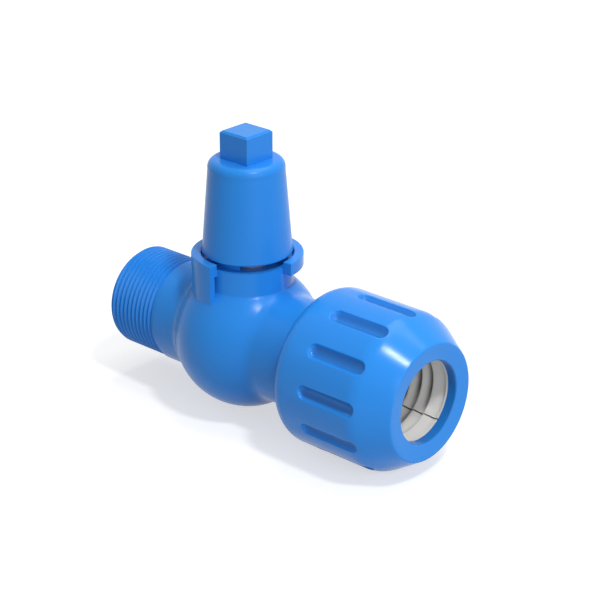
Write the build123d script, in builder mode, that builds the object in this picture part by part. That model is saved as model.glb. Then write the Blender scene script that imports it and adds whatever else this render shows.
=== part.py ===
from build123d import *
from math import atan2, cos, radians, sqrt, tan
import os

# Quarter-turn shut-off valve for a water house connection: a male pipe thread on one side,
# a compression end for plastic pipe on the other, and a square operator cap on top.
# The origin is the ball's centre. +X runs along the flow to the compression end, +Z up the spindle.
# Lengths are millimetres. Screw threads are plain cylinders at their crest radius.

# Clearances
running_gap = 0.05
slip_gap = 0.1
soft_gap = 0.3
seal_gap = 0.02

# Ball and waterway
waterway_radius = 12.5
ball_rim = 6.0
ball_web = 2.0
chamber_play = 0.3

# Pipe that the compression end takes
pipe_radius = 16.0
pipe_socket_play = 0.3
pipe_entry_play = 0.5
pipe_seal_play = 0.38
pipe_socket_length = 22.0

# Male pipe thread, G 1 1/4, and the neck behind it
inlet_thread_radius = 20.955
inlet_end_x = -61.0
inlet_thread_length = 27.5
inlet_thread_chamfer = 2.2
inlet_neck_step = 0.445
inlet_bore_step = 1.5

# Walls of the body
chamber_wall = 10.9
neck_blend_radius = 8.0
outlet_neck_wall = 2.75
seal_chamber_length = 10.0
clamp_wall = 4.3
clamp_thread_length = 20.5
clamp_thread_chamfer = 1.0

# Ball seats
seat_wall = 3.9
seat_contact = 1.5
seat_length = 8.0
seat_ring_section = 2.2
seat_relief = 1.0

# Screwed ring that holds the outlet seat and stops the pipe
retainer_shoulder = 0.4
retainer_wall = 2.9
retainer_setback = 2.5
retainer_web = 7.8
retainer_seal_section = 2.0
retainer_notch_count = 4
retainer_notch_width = 4.0
retainer_notch_depth = 2.0
socket_lead = 1.2

# Pipe seal, its backing washer and the ring that squeezes it
seal_chamber_step = 1.0
backing_washer_thickness = 1.2
pressure_ring_flange_inset = 1.9
pressure_ring_flange_width = 3.6
pressure_ring_rounding = 0.6

# Split grip ring
grip_ring_length = 23.7
grip_ring_back_step = 0.65
grip_ring_nose_wall = 2.55
grip_ring_rim = 3.0
grip_ring_nose = 1.6
tooth_count = 4
tooth_pitch = 5.4
tooth_depth = 2.1
tooth_land = 0.5
grip_ring_slit = 0.6
grip_ring_slit_angle = -49.0

# Clamp nut
nut_wall = 7.3
nut_skirt = 1.5
nut_lip = 4.05
nut_face_dish = 0.7
nut_rear_rim = 0.5
nut_front_length = 16.4
nut_shoulder_rounding = 11.0
nut_cone_angle = 32.0
nut_rim_rounding = 1.0
nut_hole_chamfer = 0.4
scoop_count = 12
scoop_phase = 23.0
scoop_setback = 15.2
scoop_end_turn = 9.3
scoop_radius = 4.5
scoop_depth = 1.3
scoop_rim_rounding = 0.7

# Stem
stem_radius = 8.0
tang_thickness = 7.9
tang_width = 14.0
shoulder_step = 2.5
shoulder_lift = 0.8
shoulder_thickness = 3.2
thrust_washer_thickness = 1.0
square_corner_relief = 0.22
stem_seal_section = 1.9

# Bonnet on top of the body, with the screwed gland bush in it
bonnet_web = 3.4
bonnet_blend_radius = 1.0
bonnet_cap_step = 0.1
gland_wall = 3.45
gland_length = 8.0
gland_stand = 1.85
gland_seal_lift = 2.2
upper_seal_lift = 4.2
gland_key_hole_count = 4
gland_key_hole_radius = 0.9
gland_key_hole_depth = 2.5
dust_seal_inset = 0.5
dust_seal_thickness = 1.1

# Bayonet collar round the foot of the cap
ear_height = 5.2
ear_stand = 2.85
ear_wall = 3.9
ear_cap_play = 0.4
ear_start_angle = 3.0
ear_arc = 90.0
ear_rounding = 0.6
ear_root = 2.4
pillar_arc = 40.0
pillar_wall = 2.6
pillar_sink = 5.2

# Quarter-turn stop
turn_angle = 90.0
stop_ring_step = 0.3
stop_ring_thickness = 3.0
stop_wall_play = 0.4
stop_wall_thickness = 2.0
stop_lug_inset = 0.2
stop_lug_half_angle = 13.0
stop_lug_angle = 45.0
stop_play_angle = 0.4

# Operator cap
cap_lift = 3.0
cap_skirt = 3.5
cap_taper = 2.8
cap_height = 38.65
cap_band_height = 4.2
cap_top_rounding = 3.2
cap_base_chamfer = 0.6
cap_recess_play = 0.4
cap_roof = 7.88
cap_socket_top_play = 1.0
key_square = 14.5
key_square_height = 11.4
key_chamfer = 0.8
snap_ring_drop = 6.0
snap_ring_thickness = 1.4
snap_ring_stand = 0.8
snap_ring_reach = 0.5
snap_ring_gap = 5.0

# Ball, chamber and seats: sizes that follow
ball_radius = waterway_radius + ball_rim
chamber_radius = ball_radius + chamber_play
chamber_outer_radius = chamber_radius + chamber_wall
seat_inner_radius = waterway_radius + slip_gap
seat_outer_radius = seat_inner_radius + seat_wall
seat_pocket_radius = seat_outer_radius + slip_gap
seat_face_x = sqrt(ball_radius**2 - (seat_inner_radius + seat_contact) ** 2)
seat_back_x = seat_face_x + seat_length
seat_shoulder_x = seat_back_x + seat_ring_section

# Inlet end
inlet_thread_inner_x = inlet_end_x + inlet_thread_length
inlet_neck_radius = inlet_thread_radius + inlet_neck_step
inlet_bore_radius = waterway_radius + inlet_bore_step

# Outlet end, from the seat retainer out to the body's mouth
pipe_socket_radius = pipe_radius + pipe_socket_play
pipe_entry_radius = pipe_radius + pipe_entry_play
retainer_radius = max(chamber_radius + retainer_shoulder, pipe_socket_radius + retainer_wall)
retainer_start_x = seat_face_x + retainer_setback
pipe_stop_x = seat_shoulder_x + retainer_web
retainer_end_x = pipe_stop_x + pipe_socket_length
retainer_seal_x = (seat_shoulder_x + pipe_stop_x) / 2
seal_chamber_radius = retainer_radius + seal_chamber_step
body_mouth_x = retainer_end_x + seal_chamber_length
outlet_neck_radius = retainer_radius + running_gap + outlet_neck_wall
clamp_thread_radius = seal_chamber_radius + clamp_wall
clamp_thread_start_x = body_mouth_x - clamp_thread_length
pipe_seal_section = seal_chamber_radius - seal_gap - pipe_radius - pipe_seal_play
pressure_ring_flange_x = body_mouth_x + running_gap
pressure_ring_flange_radius = clamp_thread_radius - pressure_ring_flange_inset

# Clamp nut and grip ring
nut_bore_radius = clamp_thread_radius + running_gap
nut_radius = nut_bore_radius + nut_wall
nut_rear_rounding = nut_wall - nut_rear_rim
grip_ring_start_x = pressure_ring_flange_x + pressure_ring_flange_width + slip_gap
grip_ring_front_x = grip_ring_start_x + grip_ring_length
nut_rear_x = clamp_thread_start_x - nut_skirt
nut_hole_x = grip_ring_front_x + nut_lip
nut_front_x = nut_hole_x + nut_face_dish
nut_shoulder_x = nut_front_x - nut_front_length
tooth_crest_radius = pipe_socket_radius + running_gap
grip_ring_back_radius = nut_bore_radius - grip_ring_back_step
grip_ring_nose_radius = tooth_crest_radius + grip_ring_nose_wall

# Stem, gland and bonnet, from the ball upwards
stem_bore_radius = stem_radius + running_gap
stem_square = sqrt(2) * (stem_radius - square_corner_relief)
shoulder_radius = stem_radius + shoulder_step
tang_bottom_z = waterway_radius + ball_web + slip_gap
shoulder_bottom_z = ball_radius + shoulder_lift
shoulder_top_z = shoulder_bottom_z + shoulder_thickness
stem_recess_top_z = shoulder_top_z + thrust_washer_thickness + running_gap
gland_radius = stem_bore_radius + gland_wall
gland_bore_radius = gland_radius + running_gap
gland_bottom_z = stem_recess_top_z + bonnet_web + slip_gap
gland_top_z = gland_bottom_z + gland_length
bonnet_top_z = gland_top_z - gland_stand
lower_seal_z = stem_recess_top_z + bonnet_web / 2
upper_seal_z = gland_bottom_z + upper_seal_lift
gland_seal_z = gland_bottom_z + gland_seal_lift
gland_key_radius = (stem_bore_radius + gland_radius) / 2
dust_seal_outer_radius = gland_radius - dust_seal_inset
stem_square_bottom_z = gland_top_z + seal_gap + dust_seal_thickness + soft_gap

# Stop, cap and collar, from the stem outwards
stop_ring_radius = gland_radius + stop_ring_step
stop_wall_inner_radius = stop_ring_radius + stop_wall_play
stop_wall_outer_radius = stop_wall_inner_radius + stop_wall_thickness
stop_lug_radius = stop_wall_outer_radius - stop_lug_inset
stop_ring_bottom_z = stem_square_bottom_z + running_gap
stop_ring_top_z = stop_ring_bottom_z + stop_ring_thickness
stop_wall_top_z = stop_ring_top_z - slip_gap
cap_recess_radius = stop_wall_outer_radius + cap_recess_play
cap_recess_top_z = stop_ring_top_z + running_gap
cap_base_radius = cap_recess_radius + cap_skirt
cap_shoulder_radius = cap_base_radius - cap_taper
cap_base_z = bonnet_top_z + cap_lift
cap_top_z = cap_base_z + cap_height
cap_shoulder_z = cap_top_z - cap_band_height
cap_socket_top_z = cap_top_z - cap_roof
stem_top_z = cap_socket_top_z - cap_socket_top_play
key_square_top_z = cap_top_z + key_square_height
snap_ring_z = stem_top_z - snap_ring_drop
snap_ring_inner_radius = stem_square / 2 + snap_ring_stand
snap_ring_outer_radius = stem_square / sqrt(2) + snap_ring_reach
bonnet_radius = cap_base_radius + bonnet_cap_step
ear_inner_radius = cap_base_radius + ear_cap_play
ear_outer_radius = ear_inner_radius + ear_wall
ear_root_radius = ear_inner_radius - ear_root
ear_top_z = bonnet_top_z + ear_stand
ear_bottom_z = ear_top_z - ear_height
pillar_foot_z = sqrt(chamber_outer_radius**2 - ear_outer_radius**2) - pillar_sink

os.makedirs("parts", exist_ok=True)


def sector_outline(inner_radius, outer_radius, start_angle, arc):
    """Draws the four edges of a ring sector in the line block that calls it."""
    outer_arc = CenterArc((0, 0), outer_radius, start_angle, arc)
    inner_arc = CenterArc((0, 0), inner_radius, start_angle, arc)
    Line(outer_arc @ 0, inner_arc @ 0)
    Line(outer_arc @ 1, inner_arc @ 1)


def groove_floor(wall_radius, section):
    """Radius of the floor of an outside groove for a seal that reaches the wall round it."""
    return wall_radius - running_gap - section - seal_gap


def seal_round_x(name, x, outer_radius, section):
    """A round seal about the flow axis."""
    with BuildPart() as seal:
        with BuildSketch(Plane.XY):
            with Locations((x, outer_radius - section / 2)):
                Circle(section / 2)
        revolve(axis=Axis.X)
    seal.part.label = name
    export_step(seal.part, f"parts/{name}.step")


def seal_round_z(name, z, outer_radius, section):
    """A round seal about the spindle axis."""
    with BuildPart() as seal:
        with BuildSketch(Plane.XZ):
            with Locations((outer_radius - section / 2, z)):
                Circle(section / 2)
        revolve(axis=Axis.Z)
    seal.part.label = name
    export_step(seal.part, f"parts/{name}.step")


# Valve body: thread end, ball chamber, clamp thread, bonnet with two bayonet ears, one on a pillar
sphere_meets_inlet_x = -sqrt(chamber_outer_radius**2 - inlet_neck_radius**2)
sphere_meets_outlet_x = sqrt(chamber_outer_radius**2 - outlet_neck_radius**2)
with BuildPart() as valve_body:
    with BuildSketch(Plane.XY):
        with BuildLine():
            Polyline(
                (inlet_end_x, 0),
                (inlet_end_x, inlet_thread_radius),
                (inlet_thread_inner_x, inlet_thread_radius),
                (inlet_thread_inner_x, inlet_neck_radius),
                (sphere_meets_inlet_x, inlet_neck_radius),
            )
            ThreePointArc(
                (sphere_meets_inlet_x, inlet_neck_radius),
                (0, chamber_outer_radius),
                (sphere_meets_outlet_x, outlet_neck_radius),
            )
            Polyline(
                (sphere_meets_outlet_x, outlet_neck_radius),
                (clamp_thread_start_x, outlet_neck_radius),
                (clamp_thread_start_x, clamp_thread_radius),
                (body_mouth_x, clamp_thread_radius),
                (body_mouth_x, 0),
                (inlet_end_x, 0),
            )
        make_face()
        outer_corners = vertices().filter_by(lambda corner: corner.Y > 0).sort_by(Axis.X)
        chamfer(outer_corners[0], inlet_thread_chamfer)
        outer_corners = vertices().filter_by(lambda corner: corner.Y > 0).sort_by(Axis.X)
        chamfer(outer_corners[-1], clamp_thread_chamfer)
        blends = vertices().filter_by(
            lambda corner: corner.Y > 0
            and sphere_meets_inlet_x - slip_gap < corner.X < sphere_meets_outlet_x + slip_gap
        )
        fillet(blends, neck_blend_radius)
    revolve(axis=Axis.X)
    Cylinder(bonnet_radius, bonnet_top_z, align=(Align.CENTER, Align.CENTER, Align.MIN))
    bonnet_foot = edges(Select.LAST).filter_by(
        lambda edge: edge.bounding_box().max.Z < bonnet_top_z - bonnet_blend_radius
    )
    fillet(bonnet_foot, bonnet_blend_radius)
    for side in (0, 180):
        with BuildSketch(Plane.XY.offset(ear_bottom_z)):
            with BuildLine():
                sector_outline(ear_root_radius, ear_outer_radius, ear_start_angle + side, ear_arc)
            make_face()
        extrude(amount=ear_top_z - ear_bottom_z)
    with Locations((0, 0, bonnet_top_z)):
        Cylinder(
            ear_inner_radius,
            ear_top_z - bonnet_top_z,
            align=(Align.CENTER, Align.CENTER, Align.MIN),
            mode=Mode.SUBTRACT,
        )
    fillet(edges().group_by(Axis.Z)[-1], ear_rounding)
    pillar_start = 180 + ear_start_angle + ear_arc - pillar_arc
    with BuildSketch(Plane.XY.offset(pillar_foot_z)):
        with BuildLine():
            sector_outline(ear_outer_radius - pillar_wall, ear_outer_radius, pillar_start, pillar_arc)
        make_face()
    extrude(amount=ear_bottom_z - pillar_foot_z)
    stop_gap_half = turn_angle / 2 + stop_lug_half_angle + stop_play_angle
    with BuildSketch(Plane.XY.offset(bonnet_top_z)):
        with BuildLine():
            sector_outline(
                stop_wall_inner_radius,
                stop_wall_outer_radius,
                stop_lug_angle - turn_angle / 2 + stop_gap_half,
                360 - 2 * stop_gap_half,
            )
        make_face()
    extrude(amount=stop_wall_top_z - bonnet_top_z)
    with BuildSketch(Plane.XY):
        with BuildLine():
            Polyline(
                (inlet_end_x, 0),
                (inlet_end_x, inlet_bore_radius),
                (-seat_shoulder_x, inlet_bore_radius),
                (-seat_shoulder_x, seat_pocket_radius),
                (-seat_face_x, seat_pocket_radius),
                (-seat_face_x, chamber_radius),
                (retainer_start_x, chamber_radius),
                (retainer_start_x, retainer_radius + running_gap),
                (retainer_end_x, retainer_radius + running_gap),
                (retainer_end_x, seal_chamber_radius),
                (body_mouth_x, seal_chamber_radius),
                (body_mouth_x, 0),
                close=True,
            )
        make_face()
    revolve(axis=Axis.X, mode=Mode.SUBTRACT)
    with BuildSketch(Plane.XZ):
        with BuildLine():
            Polyline(
                (0, 0),
                (shoulder_radius + slip_gap, 0),
                (shoulder_radius + slip_gap, stem_recess_top_z),
                (stem_bore_radius, stem_recess_top_z),
                (stem_bore_radius, gland_bottom_z - slip_gap),
                (gland_bore_radius, gland_bottom_z - slip_gap),
                (gland_bore_radius, bonnet_top_z),
                (0, bonnet_top_z),
                close=True,
            )
        make_face()
    revolve(axis=Axis.Z, mode=Mode.SUBTRACT)
valve_body.part.label = "valve_body"
export_step(valve_body.part, "parts/valve_body.step")

# Ball, with its waterway and the slot that the stem's tang drives
slot_floor_z = tang_bottom_z - slip_gap
with BuildPart() as ball:
    Sphere(ball_radius)
    Cylinder(waterway_radius, 2 * ball_radius, rotation=(0, 90, 0), mode=Mode.SUBTRACT)
    with Locations((0, 0, slot_floor_z)):
        Box(
            tang_thickness + 2 * running_gap,
            2 * ball_radius,
            ball_radius,
            align=(Align.CENTER, Align.CENTER, Align.MIN),
            mode=Mode.SUBTRACT,
        )
ball.part.label = "ball"
export_step(ball.part, "parts/ball.step")

# Seats: each has a spherical face a hair off the ball and a bevelled back edge
with BuildPart() as seat_inlet:
    with BuildSketch(Plane.XY):
        with BuildLine():
            Polyline(
                (-seat_face_x, seat_inner_radius),
                (-seat_face_x, seat_outer_radius),
                (-seat_back_x + seat_relief, seat_outer_radius),
                (-seat_back_x, seat_outer_radius - seat_relief),
                (-seat_back_x, seat_inner_radius),
                close=True,
            )
        make_face()
    revolve(axis=Axis.X)
    Sphere(ball_radius + running_gap, mode=Mode.SUBTRACT)
seat_inlet.part.label = "seat_inlet"
export_step(seat_inlet.part, "parts/seat_inlet.step")
with BuildPart() as seat_outlet:
    mirror(seat_inlet.part, about=Plane.YZ)
seat_outlet.part.label = "seat_outlet"
export_step(seat_outlet.part, "parts/seat_outlet.step")

for name, side in (("seat_oring_inlet", -1), ("seat_oring_outlet", 1)):
    seal_round_x(
        name,
        side * (seat_back_x + seat_ring_section / 2),
        seat_outer_radius - seal_gap,
        seat_ring_section - 2 * seal_gap,
    )

# Seat retainer: holds the outlet seat, stops the pipe's end and guides the pipe
retainer_groove_radius = groove_floor(retainer_radius + running_gap, retainer_seal_section)
with BuildPart() as seat_retainer:
    with BuildSketch(Plane.XY):
        with BuildLine():
            Polyline(
                (retainer_start_x, seat_pocket_radius),
                (seat_shoulder_x, seat_pocket_radius),
                (seat_shoulder_x, seat_inner_radius),
                (pipe_stop_x, seat_inner_radius),
                (pipe_stop_x, pipe_socket_radius),
                (retainer_end_x - socket_lead, pipe_socket_radius),
                (retainer_end_x, pipe_socket_radius + socket_lead / 2),
                (retainer_end_x, retainer_radius),
                (retainer_start_x, retainer_radius),
                close=True,
            )
        make_face()
        groove_width = retainer_seal_section + 2 * slip_gap
        with Locations((retainer_seal_x, retainer_groove_radius)):
            Rectangle(
                groove_width,
                retainer_seal_section * 2,
                align=(Align.CENTER, Align.MIN),
                mode=Mode.SUBTRACT,
            )
    revolve(axis=Axis.X)
    for notch in range(retainer_notch_count // 2):
        with Locations((retainer_end_x, 0, 0)):
            Box(
                2 * retainer_notch_depth,
                2 * retainer_radius,
                retainer_notch_width,
                rotation=(notch * 360 / retainer_notch_count, 0, 0),
                mode=Mode.SUBTRACT,
            )
seat_retainer.part.label = "seat_retainer"
export_step(seat_retainer.part, "parts/seat_retainer.step")
seal_round_x(
    "retainer_oring",
    retainer_seal_x,
    retainer_radius + running_gap - seal_gap,
    retainer_seal_section,
)

# Pipe seal, the washer behind it and the ring that squeezes it
washer_end_x = retainer_end_x + running_gap + backing_washer_thickness
with BuildPart() as backing_washer:
    with BuildSketch(Plane.YZ.offset(retainer_end_x + running_gap)):
        Circle(seal_chamber_radius - slip_gap)
        Circle(pipe_entry_radius, mode=Mode.SUBTRACT)
    extrude(amount=backing_washer_thickness)
backing_washer.part.label = "backing_washer"
export_step(backing_washer.part, "parts/backing_washer.step")
pipe_seal_x = washer_end_x + seal_gap + pipe_seal_section / 2
seal_round_x("pipe_seal", pipe_seal_x, seal_chamber_radius - seal_gap, pipe_seal_section)

pressure_ring_nose_x = pipe_seal_x + pipe_seal_section / 2 + seal_gap
with BuildPart() as pressure_ring:
    with BuildSketch(Plane.XY):
        with BuildLine():
            Polyline(
                (pressure_ring_nose_x, pipe_entry_radius),
                (pressure_ring_nose_x, seal_chamber_radius - running_gap),
                (pressure_ring_flange_x, seal_chamber_radius - running_gap),
                (pressure_ring_flange_x, pressure_ring_flange_radius),
                (pressure_ring_flange_x + pressure_ring_flange_width, pressure_ring_flange_radius),
                (pressure_ring_flange_x + pressure_ring_flange_width, pipe_entry_radius),
                close=True,
            )
        make_face()
        outer_corners = vertices().sort_by(Axis.Y)[-2:]
        fillet(outer_corners, pressure_ring_rounding)
    revolve(axis=Axis.X)
pressure_ring.part.label = "pressure_ring"
export_step(pressure_ring.part, "parts/pressure_ring.step")

# Split grip ring: a cone outside, saw teeth inside that let the pipe in and not out
tooth_zone_start_x = grip_ring_front_x - grip_ring_nose - tooth_count * tooth_pitch
tooth_points = []
for tooth in range(tooth_count):
    tooth_x = tooth_zone_start_x + tooth * tooth_pitch
    tooth_points.append((tooth_x, tooth_crest_radius + tooth_depth))
    tooth_points.append((tooth_x, tooth_crest_radius))
    tooth_points.append((tooth_x + tooth_land, tooth_crest_radius))
with BuildPart() as grip_ring:
    with BuildSketch(Plane.XY):
        with BuildLine():
            Polyline(
                (grip_ring_start_x, tooth_crest_radius + tooth_depth),
                *tooth_points,
                (grip_ring_front_x - grip_ring_nose, tooth_crest_radius + tooth_depth / 2),
                (grip_ring_front_x - grip_ring_nose / 2, tooth_crest_radius),
                (grip_ring_front_x, tooth_crest_radius),
                (grip_ring_front_x, grip_ring_nose_radius),
                (grip_ring_front_x - grip_ring_nose, grip_ring_nose_radius),
                (grip_ring_start_x + grip_ring_rim, grip_ring_back_radius),
                (grip_ring_start_x, grip_ring_back_radius),
                close=True,
            )
        make_face()
    revolve(axis=Axis.X)
    with BuildSketch(Plane.YZ.offset(grip_ring_start_x)):
        with Locations(Location((0, 0), grip_ring_slit_angle)):
            Rectangle(2 * grip_ring_back_radius, grip_ring_slit, align=(Align.MIN, Align.CENTER))
    extrude(amount=grip_ring_front_x - grip_ring_start_x, mode=Mode.SUBTRACT)
grip_ring.part.label = "grip_ring"
export_step(grip_ring.part, "parts/grip_ring.step")

# Cutter of one grip scoop: a round bar that follows the nut's barrel and its shoulder
scoop_lift = scoop_radius - scoop_depth
scoop_half_width = sqrt(scoop_radius**2 - scoop_lift**2)
scoop_start_x = nut_rear_x + scoop_setback + scoop_half_width
scoop_path_radius = nut_radius + scoop_lift
with BuildPart() as scoop_cutter:
    with BuildLine() as scoop_path:
        scoop_run = Line((scoop_start_x, scoop_path_radius), (nut_shoulder_x, scoop_path_radius))
        JernArc(scoop_run @ 1, scoop_run % 1, nut_shoulder_rounding + scoop_lift, -scoop_end_turn)
    with BuildSketch(Plane(origin=scoop_path.line @ 0, z_dir=scoop_path.line % 0)):
        Circle(scoop_radius)
    sweep(path=scoop_path.line)
    with Locations(scoop_path.line @ 0, scoop_path.line @ 1):
        Sphere(scoop_radius)

# Clamp nut: conical front with a dished face, rounded rear, grip scoops all round, clamping cone inside
cone_back_x = grip_ring_start_x + grip_ring_rim
cone_length = grip_ring_front_x - grip_ring_nose - cone_back_x
cone_gap = slip_gap / cos(atan2(grip_ring_back_radius - grip_ring_nose_radius, cone_length))
with BuildPart() as clamp_nut:
    with BuildSketch(Plane.XY):
        with BuildLine():
            rear_face = Line((nut_rear_x, nut_bore_radius), (nut_rear_x, nut_radius - nut_rear_rounding))
            rear_round = JernArc(rear_face @ 1, rear_face % 1, nut_rear_rounding, -90)
            barrel = Line(rear_round @ 1, (nut_shoulder_x, nut_radius))
            shoulder = JernArc(barrel @ 1, barrel % 1, nut_shoulder_rounding, -nut_cone_angle)
            shoulder_end = shoulder @ 1
            rim_radius = shoulder_end.Y - (nut_front_x - shoulder_end.X) * tan(radians(nut_cone_angle))
            Polyline(
                shoulder_end,
                (nut_front_x, rim_radius),
                (nut_hole_x, pipe_entry_radius),
                (grip_ring_front_x + slip_gap, pipe_entry_radius),
                (grip_ring_front_x + slip_gap, grip_ring_nose_radius + slip_gap),
                (grip_ring_front_x - grip_ring_nose, grip_ring_nose_radius + cone_gap),
                (cone_back_x, grip_ring_back_radius + cone_gap),
                (cone_back_x, nut_bore_radius),
                (nut_rear_x, nut_bore_radius),
            )
        make_face()
        fillet(vertices().sort_by(Axis.X)[-1], nut_rim_rounding)
        front_corners = vertices().filter_by(lambda corner: corner.X > nut_hole_x - slip_gap)
        chamfer(front_corners.sort_by(Axis.Y)[0], nut_hole_chamfer)
    revolve(axis=Axis.X)
    for scoop in range(scoop_count):
        add(
            scoop_cutter.part.rotate(Axis.X, scoop_phase + scoop * 360 / scoop_count),
            mode=Mode.SUBTRACT,
        )
    scoop_floor_radius = nut_radius - 2 * scoop_depth
    scoop_rims = edges().filter_by(
        lambda edge: sqrt(edge.center().Y ** 2 + edge.center().Z ** 2) > scoop_floor_radius
        and edge.length < nut_front_x - nut_rear_x
    )
    fillet(scoop_rims, scoop_rim_rounding)
clamp_nut.part.label = "clamp_nut"
export_step(clamp_nut.part, "parts/clamp_nut.step")

# Stem: tang, blow-out shoulder, seal grooves and the square that drives the cap
stem_seal_floor = groove_floor(stem_bore_radius, stem_seal_section)
with BuildPart() as stem:
    with BuildSketch(Plane.XZ):
        with BuildLine():
            Polyline(
                (0, shoulder_bottom_z),
                (shoulder_radius, shoulder_bottom_z),
                (shoulder_radius, shoulder_top_z),
                (stem_radius, shoulder_top_z),
                (stem_radius, stem_square_bottom_z),
                (0, stem_square_bottom_z),
                close=True,
            )
        make_face()
        with Locations((stem_seal_floor, lower_seal_z), (stem_seal_floor, upper_seal_z)):
            Rectangle(
                stem_radius,
                stem_seal_section + 2 * slip_gap,
                align=(Align.MIN, Align.CENTER),
                mode=Mode.SUBTRACT,
            )
    revolve(axis=Axis.Z)
    with BuildSketch(Plane.XY.offset(tang_bottom_z)):
        Rectangle(tang_thickness, tang_width)
    extrude(amount=shoulder_bottom_z - tang_bottom_z)
    with BuildSketch(Plane.XY.offset(stem_square_bottom_z)):
        Rectangle(stem_square, stem_square)
    extrude(amount=stem_top_z - stem_square_bottom_z)
    chamfer(faces().sort_by(Axis.Z)[-1].edges(), key_chamfer)
    with BuildSketch(Plane.XY.offset(snap_ring_z - snap_ring_thickness / 2 - slip_gap)):
        Circle(stem_square)
        Circle(snap_ring_inner_radius - slip_gap, mode=Mode.SUBTRACT)
    extrude(amount=snap_ring_thickness + 2 * slip_gap, mode=Mode.SUBTRACT)
stem.part.label = "stem"
export_step(stem.part, "parts/stem.step")

with BuildPart() as thrust_washer:
    with BuildSketch(Plane.XY.offset(shoulder_top_z)):
        Circle(shoulder_radius - slip_gap)
        Circle(stem_bore_radius, mode=Mode.SUBTRACT)
    extrude(amount=thrust_washer_thickness)
thrust_washer.part.label = "thrust_washer"
export_step(thrust_washer.part, "parts/thrust_washer.step")

for name, z in (("stem_oring_lower", lower_seal_z), ("stem_oring_upper", upper_seal_z)):
    seal_round_z(name, z, stem_bore_radius - seal_gap, stem_seal_section)

# Gland bush: screwed into the bonnet, it guides the stem; four holes take a pin wrench
gland_groove_radius = groove_floor(gland_bore_radius, stem_seal_section)
with BuildPart() as gland_bush:
    with BuildSketch(Plane.XZ):
        with BuildLine():
            Polyline(
                (stem_bore_radius, gland_bottom_z),
                (gland_radius, gland_bottom_z),
                (gland_radius, gland_top_z),
                (stem_bore_radius, gland_top_z),
                close=True,
            )
        make_face()
        with Locations((gland_groove_radius, gland_seal_z)):
            Rectangle(
                gland_radius,
                stem_seal_section + 2 * slip_gap,
                align=(Align.MIN, Align.CENTER),
                mode=Mode.SUBTRACT,
            )
    revolve(axis=Axis.Z)
    with BuildSketch(Plane.XY.offset(gland_top_z)):
        with PolarLocations(gland_key_radius, gland_key_hole_count):
            Circle(gland_key_hole_radius)
    extrude(amount=-gland_key_hole_depth, mode=Mode.SUBTRACT)
gland_bush.part.label = "gland_bush"
export_step(gland_bush.part, "parts/gland_bush.step")
seal_round_z("gland_oring", gland_seal_z, gland_bore_radius - seal_gap, stem_seal_section)

# Dust seal: lies on the bush, under the turning stop ring
with BuildPart() as dust_seal:
    with BuildSketch(Plane.XY.offset(gland_top_z + seal_gap)):
        Circle(dust_seal_outer_radius)
        Circle(stem_radius + soft_gap, mode=Mode.SUBTRACT)
    extrude(amount=dust_seal_thickness)
dust_seal.part.label = "dust_seal"
export_step(dust_seal.part, "parts/dust_seal.step")

# Stop ring: keyed on the stem's square, its lug runs between the ends of the body's stop wall
with BuildPart() as stop_ring:
    with BuildSketch(Plane.XY.offset(stop_ring_bottom_z)):
        Circle(stop_ring_radius)
        with BuildLine():
            sector_outline(
                stem_radius,
                stop_lug_radius,
                stop_lug_angle - stop_lug_half_angle,
                2 * stop_lug_half_angle,
            )
        make_face()
        Rectangle(stem_square + 2 * running_gap, stem_square + 2 * running_gap, mode=Mode.SUBTRACT)
    extrude(amount=stop_ring_thickness)
stop_ring.part.label = "stop_ring"
export_step(stop_ring.part, "parts/stop_ring.step")

# Operator cap: tapered, with the square for the valve key on top and the stem's socket inside
with BuildPart() as operator_cap:
    with BuildSketch(Plane.XZ):
        with BuildLine():
            Polyline(
                (0, cap_base_z),
                (cap_base_radius, cap_base_z),
                (cap_shoulder_radius, cap_shoulder_z),
                (cap_shoulder_radius, cap_top_z),
                (0, cap_top_z),
                close=True,
            )
        make_face()
        fillet(vertices().group_by(Axis.Y)[-1].sort_by(Axis.X)[-1], cap_top_rounding)
        chamfer(vertices().group_by(Axis.Y)[0].sort_by(Axis.X)[-1], cap_base_chamfer)
    revolve(axis=Axis.Z)
    with BuildSketch(Plane.XY.offset(cap_top_z)):
        Rectangle(key_square, key_square)
    extrude(amount=key_square_top_z - cap_top_z)
    chamfer(faces().sort_by(Axis.Z)[-1].edges(), key_chamfer)
    with BuildSketch(Plane.XY.offset(cap_base_z)):
        Circle(cap_recess_radius)
    extrude(amount=cap_recess_top_z - cap_base_z, mode=Mode.SUBTRACT)
    with BuildSketch(Plane.XY.offset(cap_recess_top_z)):
        Rectangle(stem_square + 2 * running_gap, stem_square + 2 * running_gap)
    extrude(amount=cap_socket_top_z - cap_recess_top_z, mode=Mode.SUBTRACT)
    with BuildSketch(Plane.XY.offset(snap_ring_z - snap_ring_thickness / 2 - slip_gap)):
        Circle(snap_ring_outer_radius + soft_gap)
    extrude(amount=snap_ring_thickness + 2 * slip_gap, mode=Mode.SUBTRACT)
operator_cap.part.label = "operator_cap"
export_step(operator_cap.part, "parts/operator_cap.step")

# Snap ring: locks the cap to the stem, out of sight in the socket
with BuildPart() as cap_snap_ring:
    with BuildSketch(Plane.XY.offset(snap_ring_z - snap_ring_thickness / 2)):
        Circle(snap_ring_outer_radius)
        Circle(snap_ring_inner_radius, mode=Mode.SUBTRACT)
        Rectangle(snap_ring_outer_radius, snap_ring_gap, align=(Align.MIN, Align.CENTER), mode=Mode.SUBTRACT)
    extrude(amount=snap_ring_thickness)
cap_snap_ring.part.label = "cap_snap_ring"
export_step(cap_snap_ring.part, "parts/cap_snap_ring.step")
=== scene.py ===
"""A quarter-turn shut-off valve in blue moulded plastic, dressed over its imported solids.

Metres throughout. The origin is the ball's centre, +X runs to the compression end and +Z up the
spindle. The valve lies level, and its clamp nut touches the floor.
"""

import math

import bpy
from mathutils import Matrix, Vector


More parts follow.
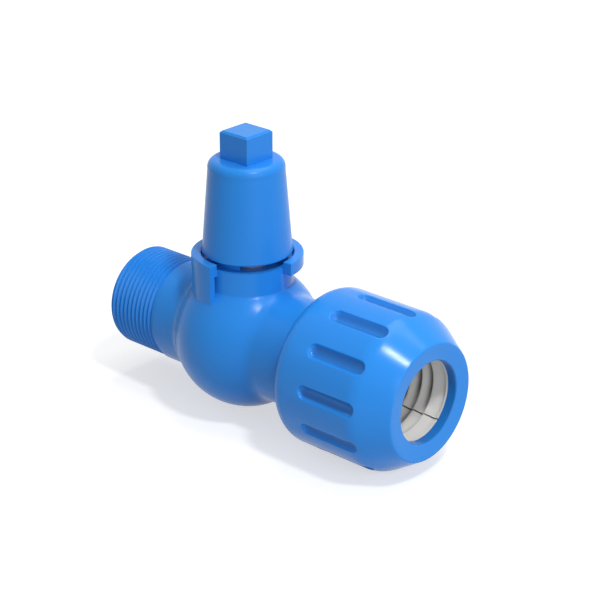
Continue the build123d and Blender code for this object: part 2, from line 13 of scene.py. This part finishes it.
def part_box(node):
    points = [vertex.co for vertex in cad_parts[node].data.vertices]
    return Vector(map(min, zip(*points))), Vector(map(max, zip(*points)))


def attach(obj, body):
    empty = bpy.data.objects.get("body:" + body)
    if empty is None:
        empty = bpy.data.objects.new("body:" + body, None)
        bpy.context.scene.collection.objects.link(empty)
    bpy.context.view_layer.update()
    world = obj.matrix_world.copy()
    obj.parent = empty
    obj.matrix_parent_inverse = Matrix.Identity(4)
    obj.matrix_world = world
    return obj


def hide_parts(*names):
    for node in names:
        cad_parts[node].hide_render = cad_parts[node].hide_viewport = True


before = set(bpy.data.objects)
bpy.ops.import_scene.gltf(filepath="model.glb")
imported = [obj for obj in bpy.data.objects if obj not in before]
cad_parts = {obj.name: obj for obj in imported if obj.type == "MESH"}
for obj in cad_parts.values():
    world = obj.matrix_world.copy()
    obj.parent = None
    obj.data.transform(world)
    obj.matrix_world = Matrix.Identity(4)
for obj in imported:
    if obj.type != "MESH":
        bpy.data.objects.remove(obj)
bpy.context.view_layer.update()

MM = 0.001


def deselect_all():
    """Clears the selection, which the import leaves on the solids."""
    bpy.ops.object.select_all(action="DESELECT")


def work_on(piece):
    """Selects one object alone and makes it the active one."""
    deselect_all()
    piece.select_set(True)
    bpy.context.view_layer.objects.active = piece


# Threads

# Male pipe thread, G 1 1/4, moulded with shallow open grooves: crest radius, groove depth and
# pitch. The groove starts beyond the end face, and its last turn stops at the neck.
INLET_THREAD = {
    "name": "inlet_thread_cutter",
    "crest": 20.955 * MM,
    "depth": 1.1 * MM,
    "pitch": 2.309 * MM,
    "first": -62.4 * MM,
    "last": -34.2 * MM,
    "root_flat": 0.3 * MM,
    "flank": math.radians(37),
}

# Coarse thread that the clamp nut runs on: the nut moves by this pitch in one turn
CLAMP_THREAD = {
    "name": "clamp_thread_cutter",
    "crest": 24.5 * MM,
    "depth": 1.6 * MM,
    "pitch": 4.5 * MM,
    "first": 44.0 * MM,
    "last": 65.0 * MM,
    "root_flat": 1.0 * MM,
    "flank": math.radians(30),
}

STEPS_PER_TURN = 72
CUT_MARGIN = 0.12 * MM
MERGE_DISTANCE = 0.002 * MM
# Edges that turn by less than this are shaded smooth
SMOOTH_ANGLE = math.radians(32)


def thread_cutter(crest, depth, pitch, first, last, root_flat, flank, name):
    """A helical bar of the groove's own section, wound round the flow axis with a right hand."""
    deselect_all()
    bpy.ops.mesh.primitive_plane_add(size=1.0, location=(first, crest, 0.0))
    cutter = bpy.context.active_object
    cutter.name = name
    bpy.ops.object.transform_apply(location=True, rotation=True, scale=True)
    half_root = root_flat / 2
    half_mouth = half_root + (depth + CUT_MARGIN) * math.tan(flank)
    for corner in cutter.data.vertices:
        at_mouth = corner.co.y > crest
        side = 1.0 if corner.co.x > first else -1.0
        corner.co.x = first + side * (half_mouth if at_mouth else half_root)
        corner.co.y = crest + CUT_MARGIN if at_mouth else crest - depth
    bpy.ops.object.mode_set(mode="EDIT")
    bpy.ops.mesh.select_all(action="SELECT")
    bpy.ops.mesh.delete(type="ONLY_FACE")
    bpy.ops.object.mode_set(mode="OBJECT")
    turns = (last - first) / pitch
    screw = cutter.modifiers.new("Helix", "SCREW")
    screw.axis = "X"
    screw.angle = 2 * math.pi * turns
    screw.screw_offset = last - first
    screw.iterations = 1
    screw.steps = round(turns * STEPS_PER_TURN)
    screw.render_steps = screw.steps
    screw.use_merge_vertices = False
    work_on(cutter)
    bpy.ops.object.modifier_apply(modifier=screw.name)
    bpy.ops.object.mode_set(mode="EDIT")
    bpy.ops.mesh.select_all(action="SELECT")
    bpy.ops.mesh.fill_holes(sides=0)
    bpy.ops.mesh.select_all(action="SELECT")
    bpy.ops.mesh.normals_make_consistent(inside=False)
    bpy.ops.object.mode_set(mode="OBJECT")
    return cutter


def merged_copy(node_name, name):
    """A copy of a solid's mesh with its loose triangles merged, free of the solid's marks."""
    copy = bpy.data.objects.new(name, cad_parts[node_name].data.copy())
    bpy.context.scene.collection.objects.link(copy)
    copy.data.materials.clear()
    work_on(copy)
    bpy.ops.object.mode_set(mode="EDIT")
    bpy.ops.mesh.select_all(action="SELECT")
    bpy.ops.mesh.remove_doubles(threshold=MERGE_DISTANCE)
    bpy.ops.mesh.customdata_custom_splitnormals_clear()
    bpy.ops.object.mode_set(mode="OBJECT")
    return copy


def cut_away(piece, cutter):
    """Takes the cutter's volume out of the piece, then deletes the cutter."""
    work_on(piece)
    boolean = piece.modifiers.new("Groove", "BOOLEAN")
    boolean.operation = "DIFFERENCE"
    boolean.solver = "EXACT"
    boolean.object = cutter
    bpy.ops.object.modifier_apply(modifier=boolean.name)
    bpy.data.objects.remove(cutter)


body_shell = merged_copy("valve_body", "body_shell")
cut_away(body_shell, thread_cutter(**INLET_THREAD))
cut_away(body_shell, thread_cutter(**CLAMP_THREAD))
work_on(body_shell)
bpy.ops.object.shade_smooth_by_angle(angle=SMOOTH_ANGLE)
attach(body_shell, "valve_body")
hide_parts("valve_body")


# Grip scoops of the clamp nut: in their rounded rims they go deeper than in the solid

SCOOP_COUNT = 12
SCOOP_PHASE = math.radians(23.0)
SCOOP_RADIUS = 3.175 * MM
# The middle of a scoop's round bar lies this far outside the barrel
SCOOP_LIFT = 0.975 * MM
# Each bar ends this far round the shoulder's rounding
SCOOP_END_TURN = math.radians(9.3)
SCOOP_SETBACK = 18.364 * MM
SHOULDER_SETBACK = 16.4 * MM
SHOULDER_ROUNDING = 11.0 * MM
BARREL_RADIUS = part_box("clamp_nut")[1][2]
SCOOP_REAR_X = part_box("clamp_nut")[0][0] + SCOOP_SETBACK
SHOULDER_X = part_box("clamp_nut")[1][0] - SHOULDER_SETBACK
# Keeps the points on the sphere's middle ring, which lie at SCOOP_REAR_X, in its rear half
HALF_SPLIT = 0.001 * MM


def scoop_bar(turn):
    """A round-ended bar for one scoop, stretched from a sphere and turned about the flow axis."""
    deselect_all()
    bpy.ops.mesh.primitive_uv_sphere_add(
        segments=48,
        ring_count=24,
        radius=SCOOP_RADIUS,
        location=(SCOOP_REAR_X, BARREL_RADIUS + SCOOP_LIFT, 0.0),
        rotation=(0.0, math.pi / 2, 0.0),
    )
    bar = bpy.context.active_object
    bpy.ops.object.transform_apply(location=True, rotation=True, scale=True)
    arm = SHOULDER_ROUNDING + SCOOP_LIFT
    reach = SHOULDER_X + arm * math.sin(SCOOP_END_TURN) - SCOOP_REAR_X
    drop = arm * (1 - math.cos(SCOOP_END_TURN))
    # The sphere's front half moves away, and the faces at its middle stretch into the bar
    for corner in bar.data.vertices:
        if corner.co.x > SCOOP_REAR_X + HALF_SPLIT:
            corner.co += Vector((reach, -drop, 0.0))
    bar.rotation_euler = (turn, 0.0, 0.0)
    bpy.ops.object.transform_apply(rotation=True)
    return bar


scoop_bars = [scoop_bar(SCOOP_PHASE + 2 * math.pi * i / SCOOP_COUNT) for i in range(SCOOP_COUNT)]
deselect_all()
for bar in scoop_bars:
    bar.select_set(True)
bpy.context.view_layer.objects.active = scoop_bars[0]
bpy.ops.object.join()
nut_shell = merged_copy("clamp_nut", "nut_shell")
cut_away(nut_shell, scoop_bars[0])
work_on(nut_shell)
bpy.ops.object.shade_smooth_by_angle(angle=SMOOTH_ANGLE)
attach(nut_shell, "clamp_nut")
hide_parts("clamp_nut")


# Nodes


def hex_colour(code):
    """An sRGB hex colour as linear red, green, blue and alpha."""
    parts = [int(code[i : i + 2], 16) / 255 for i in (1, 3, 5)]
    linear = [c / 12.92 if c <= 0.04045 else ((c + 0.055) / 1.055) ** 2.4 for c in parts]
    return (*linear, 1.0)


def add_node(tree, kind, inputs=None, **settings):
    """Adds a node, sets its properties, and gives each input a value or a link from a socket."""
    node = tree.nodes.new(kind)
    for name, value in settings.items():
        setattr(node, name, value)
    for key, value in (inputs or {}).items():
        if isinstance(value, bpy.types.NodeSocket):
            tree.links.new(value, node.inputs[key])
        else:
            node.inputs[key].default_value = value
    return node


def new_material(name):
    """An empty node material, its tree, and the object's own coordinates in metres."""
    material = bpy.data.materials.new(name)
    material.use_nodes = True
    tree = material.node_tree
    tree.nodes.clear()
    place = add_node(tree, "ShaderNodeTexCoord").outputs["Object"]
    return material, tree, place


def noise(tree, place, grain, detail=2.0, roughness=0.5):
    """Noise from 0 to 1 with grains about this many metres across."""
    inputs = {"Vector": place, "Scale": 1 / grain, "Detail": detail, "Roughness": roughness}
    return add_node(tree, "ShaderNodeTexNoise", inputs).outputs["Fac"]


def mixed(tree, factor, first, second):
    """The colour that lies between two others by this factor."""
    inputs = {0: factor, 6: first, 7: second}
    return add_node(tree, "ShaderNodeMix", inputs, data_type="RGBA").outputs[2]


def maths(tree, operation, first, second=0.0):
    """The result of one sum on two numbers."""
    inputs = {0: first, 1: second}
    return add_node(tree, "ShaderNodeMath", inputs, operation=operation).outputs["Value"]


def length(tree, vector):
    """How long a vector is."""
    return add_node(tree, "ShaderNodeVectorMath", {0: vector}, operation="LENGTH").outputs["Value"]


def ramp(tree, value, start, end, low=0.0, high=1.0, kind="LINEAR"):
    """A number that goes from low to high as the value goes from start to end."""
    inputs = {"Value": value, "From Min": start, "From Max": end, "To Min": low, "To Max": high}
    node = add_node(tree, "ShaderNodeMapRange", inputs, interpolation_type=kind)
    return node.outputs["Result"]


def bumped(tree, height, strength, distance):
    """The surface's direction when this height raises it by up to the distance, in metres."""
    inputs = {"Height": height, "Strength": strength, "Distance": distance}
    return add_node(tree, "ShaderNodeBump", inputs).outputs["Normal"]


def principled_surface(tree, inputs):
    """Ends a material with a principled shader that has these inputs."""
    shader = add_node(tree, "ShaderNodeBsdfPrincipled", inputs)
    add_node(tree, "ShaderNodeOutputMaterial", {"Surface": shader.outputs["BSDF"]})


def from_flow_axis(tree, place):
    """A place's three coordinates, and its distance from the flow axis."""
    axes = add_node(tree, "ShaderNodeSeparateXYZ", {"Vector": place}).outputs
    across = add_node(tree, "ShaderNodeCombineXYZ", {"Y": axes["Y"], "Z": axes["Z"]})
    return axes, length(tree, across.outputs["Vector"])


def seen_by_camera(tree):
    """Factor that is 1 for what the camera sees, straight on, mirrored or through, and else 0."""
    path = add_node(tree, "ShaderNodeLightPath").outputs
    seen = maths(tree, "MAXIMUM", path["Is Camera Ray"], path["Is Glossy Ray"])
    return maths(tree, "MAXIMUM", seen, path["Is Transmission Ray"])


# Materials

# Painted shade darkens the nut's recesses. Neither the rounded rear nor the dished front face of
# the nut counts as a recess
RECESS_REAR_X = SCOOP_REAR_X - 6 * MM
RECESS_FRONT_X = 93.4 * MM
# The painted recess shade starts at the first of these depths below the outer form and is full at
# the next
RECESS_START = 0.5 * MM
RECESS_FULL = 2.0 * MM

# Painted shade in the roots of the grip ring's teeth: where it starts, where it is full, and where
# it fades
# The grip ring's crests lie 16.6 mm from the axis, and the roots about 2 mm further out
ROOT_SHADE_START = 16.9 * MM
ROOT_SHADE_FULL = 18.0 * MM
# The front band, ahead of the first tooth, is smooth and stays pale
FRONT_BAND_REAR_X = 82.4 * MM
FRONT_BAND_X = 82.9 * MM
# Light from above reaches the roots at the bottom, so there the painted shade is weak and they
# stay nearly as pale as the crests
LIT_ROOT_Z = -12 * MM
DARK_ROOT_Z = -5 * MM
LIT_ROOT_SHADE = 0.12

ACETAL_IOR = 1.48
# A wave texture multiplies its coordinates by this before it draws its bands
WAVE_FACTOR = 20


def nut_painted_shade_mask(tree, place):
    """Factor for the painted shade: 1 on the floors of the nut's scoops and in its hole, and 0
    outside them.
    """
    axes, radius = from_flow_axis(tree, place)
    # The outer form is the barrel, and past SHOULDER_X the shoulder's rounding
    run = maths(tree, "SUBTRACT", axes["X"], SHOULDER_X)
    run = maths(tree, "MAXIMUM", run, 0.0)
    run = maths(tree, "POWER", run, 2.0)
    rise = maths(tree, "SUBTRACT", SHOULDER_ROUNDING**2, run)
    rise = maths(tree, "MAXIMUM", rise, 0.0)
    rise = maths(tree, "SQRT", rise)
    outer = maths(tree, "ADD", rise, BARREL_RADIUS - SHOULDER_ROUNDING)
    depth = maths(tree, "SUBTRACT", outer, radius)
    deep = ramp(tree, depth, RECESS_START, RECESS_FULL, kind="SMOOTHSTEP")
    after_rear = maths(tree, "GREATER_THAN", axes["X"], RECESS_REAR_X)
    before_face = maths(tree, "LESS_THAN", axes["X"], RECESS_FRONT_X)
    between = maths(tree, "MULTIPLY", after_rear, before_face)
    return maths(tree, "MULTIPLY", deep, between)


def moulded_acetal(name, shade, cloud, roughness, painted_recess_shade=None):
    """Acetal, injection moulded: glossy and even, with a faint cloud in the colour from the melt
    and a very fine skin from the mould's polish. A recess shade is painted shade: it darkens the
    floors of the nut's scoops and its hole, where little light reaches."""
    material, tree, place = new_material(name)
    # The cloud is wider than the walls are thick
    melt = noise(tree, place, 14 * MM)
    colour = mixed(tree, melt, hex_colour(shade), hex_colour(cloud))
    # Painted shade: the nut's scoop floors and hole take a darker blue where little light reaches
    if painted_recess_shade:
        recess = nut_painted_shade_mask(tree, place)
        colour = mixed(tree, recess, colour, hex_colour(painted_recess_shade))
    # Polish marks are about 0.05 mm, drawn ten times as coarse so that they show
    skin = noise(tree, place, 0.5 * MM)
    gloss = ramp(tree, skin, 0.3, 0.7, roughness - 0.03, roughness + 0.03)
    principled_surface(
        tree,
        {
            "Base Color": colour,
            "Roughness": gloss,
            "Normal": bumped(tree, skin, 0.02, 0.03 * MM),
            "IOR": ACETAL_IOR,
            "Specular IOR Level": 0.2,
        },
    )
    return material


# Blue acetal of the three outer mouldings, each from its own batch
body_blue = moulded_acetal("moulded_blue_acetal_body", "#2787df", "#2989e2", 0.24)
# The last colour, #2375c5, is painted shade in the nut's scoops and hole
nut_blue = moulded_acetal("moulded_blue_acetal_nut", "#298ae5", "#2b8ce8", 0.2, "#2375c5")
cap_blue = moulded_acetal("moulded_blue_acetal_cap", "#2785dc", "#2987df", 0.3)


def natural_acetal(name, shade, roughness, painted_root_shade=None):
    """Unpigmented acetal, moulded: milky white, and light goes a little way into it. A root shade
    is painted shade: it darkens the roots of the grip ring's teeth, which get little light."""
    material, tree, place = new_material(name)
    melt = noise(tree, place, 6 * MM)
    colour = mixed(tree, melt, hex_colour(shade), hex_colour("#e9e8e4"))
    # Painted shade: the roots of the teeth darken, less towards the bottom and not in the front
    # band
    if painted_root_shade:
        axes, radius = from_flow_axis(tree, place)
        deep = ramp(tree, radius, ROOT_SHADE_START, ROOT_SHADE_FULL, kind="SMOOTHSTEP")
        behind = ramp(tree, axes["X"], FRONT_BAND_X, FRONT_BAND_REAR_X)
        above = ramp(tree, axes["Z"], LIT_ROOT_Z, DARK_ROOT_Z, LIT_ROOT_SHADE)
        root = maths(tree, "MULTIPLY", deep, behind)
        root = maths(tree, "MULTIPLY", root, above)
        colour = mixed(tree, root, colour, hex_colour(painted_root_shade))
    skin = noise(tree, place, 0.4 * MM)
    principled_surface(
        tree,
        {
            "Base Color": colour,
            "Roughness": roughness,
            "Normal": bumped(tree, skin, 0.12, 0.03 * MM),
            "IOR": ACETAL_IOR,
            "Subsurface Weight": 0.15,
            "Subsurface Radius": (1.0, 1.0, 1.0),
            "Subsurface Scale": 0.6 * MM,
        },
    )
    return material


# The last colour, #6a6560, is painted shade in the roots of the teeth
grip_ring_pale = natural_acetal("moulded_natural_acetal_grip_ring", "#dcdad6", 0.42, "#6a6560")
white_acetal = natural_acetal("moulded_natural_acetal", "#e2e0da", 0.5)


def turned_surface(name, shade, tint, axis, ripple_mm, roughness, metallic, ior=1.5):
    """A surface from the lathe: feed marks run round the axis, and the tone drifts a little. The
    marks lie 2 pi times the ripple's length apart."""
    material, tree, place = new_material(name)
    scale = 1 / (ripple_mm * MM) / WAVE_FACTOR
    marks = add_node(
        tree,
        "ShaderNodeTexWave",
        {"Vector": place, "Scale": scale, "Distortion": 0.4, "Detail": 1.0},
        wave_type="BANDS",
        bands_direction=axis,
    ).outputs["Fac"]
    drift = noise(tree, place, 5 * MM, detail=3.0)
    principled_surface(
        tree,
        {
            "Base Color": mixed(tree, drift, hex_colour(shade), hex_colour(tint)),
            "Roughness": ramp(tree, drift, 0.0, 1.0, roughness - 0.05, roughness + 0.05),
            "Normal": bumped(tree, marks, 0.2, 0.02 * MM),
            "Metallic": metallic,
            "IOR": ior,
        },
    )
    return material


# Real feed marks are near 0.1 mm apart. These are drawn 2.5 to 3.8 mm apart so that they show.
ball_steel = turned_surface("polished_stainless_steel", "#c9cacb", "#d6d7d8", "X", 0.6, 0.13, 1.0)
plated_brass = turned_surface("nickel_plated_brass", "#8f8d88", "#9b9994", "Z", 0.4, 0.34, 1.0)
seat_ptfe_x = turned_surface("turned_ptfe_seat", "#ecebe7", "#f2f1ee", "X", 0.5, 0.45, 0.0, 1.35)
seat_ptfe_z = turned_surface("turned_ptfe_washer", "#ecebe7", "#f2f1ee", "Z", 0.5, 0.45, 0.0, 1.35)


def fine_grained(name, shade, tint, grain_mm, depth_mm, roughness, metallic, ior=1.5):
    """A dull fine-grained surface: moulded rubber, pressed sheet or phosphated spring steel."""
    material, tree, place = new_material(name)
    grain = noise(tree, place, grain_mm * MM, detail=4.0, roughness=0.6)
    principled_surface(
        tree,
        {
            "Base Color": mixed(tree, grain, hex_colour(shade), hex_colour(tint)),
            "Roughness": roughness,
            "Normal": bumped(tree, grain, 0.3, depth_mm * MM),
            "Metallic": metallic,
            "IOR": ior,
        },
    )
    return material


seal_rubber = fine_grained("moulded_epdm_rubber", "#1a1a1c", "#262628", 0.4, 0.03, 0.62, 0.0, 1.52)
stop_steel = fine_grained("pressed_stainless_steel", "#a9abad", "#b9bbbd", 0.8, 0.01, 0.34, 1.0)
spring_steel = fine_grained("phosphated_spring_steel", "#55585c", "#63666a", 0.5, 0.02, 0.5, 1.0)


def dress(piece, material):
    """Gives the piece this one material."""
    piece.data.materials.clear()
    piece.data.materials.append(material)


finishes = {
    "clamp_nut": nut_blue,
    "operator_cap": cap_blue,
    "valve_body": body_blue,
    "grip_ring": grip_ring_pale,
    "pressure_ring": white_acetal,
    "backing_washer": white_acetal,
    "seat_retainer": white_acetal,
    "pipe_seal": seal_rubber,
    "retainer_oring": seal_rubber,
    "seat_oring_inlet": seal_rubber,
    "seat_oring_outlet": seal_rubber,
    "stem_oring_lower": seal_rubber,
    "stem_oring_upper": seal_rubber,
    "gland_oring": seal_rubber,
    "dust_seal": seal_rubber,
    "seat_inlet": seat_ptfe_x,
    "seat_outlet": seat_ptfe_x,
    "thrust_washer": seat_ptfe_z,
    "ball": ball_steel,
    "stem": plated_brass,
    "gland_bush": plated_brass,
    "stop_ring": stop_steel,
    "cap_snap_ring": spring_steel,
}
for node_name, material in finishes.items():
    dress(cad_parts[node_name], material)
dress(body_shell, body_blue)
dress(nut_shell, nut_blue)


# Floor, lights and camera

FLOOR_SIZE = 12.0
FLOOR_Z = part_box("clamp_nut")[0][2]
PAPER_SCALE = 60.0
# Round the valve the lift is low enough to keep its shadow, and further off the floor turns white
FLOOR_LIFT = 0.6
LIFT_START = 0.35
LIFT_FULL = 1.2
WORLD_LIGHT = 0.3

deselect_all()
bpy.ops.mesh.primitive_plane_add(size=FLOOR_SIZE, location=(0.0, 0.0, FLOOR_Z))
floor = bpy.context.active_object
floor.name = "floor"
bpy.ops.object.transform_apply(location=True)

floor_white, tree, place = new_material("matt_white_floor")
paper = add_node(tree, "ShaderNodeTexNoise", {"Vector": place, "Scale": PAPER_SCALE})
tone = mixed(tree, paper.outputs["Fac"], hex_colour("#c2c2c2"), hex_colour("#c4c4c4"))
matt = add_node(tree, "ShaderNodeBsdfDiffuse", {"Color": tone}).outputs["BSDF"]
fade = ramp(tree, length(tree, place), LIFT_START, LIFT_FULL, FLOOR_LIFT)
lift = maths(tree, "MULTIPLY", seen_by_camera(tree), fade)
glow = add_node(tree, "ShaderNodeEmission", {"Strength": lift}).outputs["Emission"]
both = add_node(tree, "ShaderNodeAddShader", {0: matt, 1: glow}).outputs["Shader"]
add_node(tree, "ShaderNodeOutputMaterial", {"Surface": both})
dress(floor, floor_white)

# The world is white to the camera and in reflections, and a soft grey for the light it gives
world = bpy.data.worlds.new("studio")
bpy.context.scene.world = world
world.use_nodes = True
tree = world.node_tree
tree.nodes.clear()
level = ramp(tree, seen_by_camera(tree), 0.0, 1.0, WORLD_LIGHT)
sky = add_node(
    tree,
    "ShaderNodeBackground",
    {"Color": (1.0, 1.0, 1.0, 1.0), "Strength": level},
).outputs["Background"]
add_node(tree, "ShaderNodeOutputWorld", {"Surface": sky})

VALVE_MIDDLE = Vector((0.016, 0.0, 0.02))


def softbox(name, place, size, power):
    """A square area light at place, in metres, that faces the middle of the valve."""
    data = bpy.data.lights.new(name, "AREA")
    data.shape = "SQUARE"
    data.size = size
    data.energy = power
    lamp = bpy.data.objects.new(name, data)
    bpy.context.scene.collection.objects.link(lamp)
    lamp.location = place
    lamp.rotation_euler = (VALVE_MIDDLE - Vector(place)).to_track_quat("-Z", "Y").to_euler()


softbox("key", (0.546, -0.157, 0.97), 0.12, 5.4)
softbox("overhead", (0.05, 0.35, 1.05), 0.7, 5.4)
softbox("right_fill", (1.0, -0.35, 0.35), 0.8, 3.9)

# The camera stands where the photograph's perspective puts it
AZIMUTH = math.radians(42.193)
ELEVATION = math.radians(23.657)
CAMERA_PLACE = (0.48718, -0.50633, 0.32216)
FOCAL_PIXELS = 1909.0
PHOTO_PIXELS = 600.0
SENSOR_MM = 36.0

right = Vector((math.cos(AZIMUTH), math.sin(AZIMUTH), 0.0))
back = Vector(
    (
        math.sin(AZIMUTH) * math.cos(ELEVATION),
        -math.cos(AZIMUTH) * math.cos(ELEVATION),
        math.sin(ELEVATION),
    )
)
camera_data = bpy.data.cameras.new("camera")
camera_data.sensor_width = SENSOR_MM
camera_data.lens = FOCAL_PIXELS / PHOTO_PIXELS * SENSOR_MM
camera_data.clip_start = 0.01
camera_data.clip_end = 50.0
camera = bpy.data.objects.new("camera", camera_data)
bpy.context.scene.collection.objects.link(camera)
turn = Matrix((right, back.cross(right), back)).transposed()
camera.matrix_world = Matrix.Translation(CAMERA_PLACE) @ turn.to_4x4()
bpy.context.scene.camera = camera
bpy.context.scene.view_settings.view_transform = "Standard"
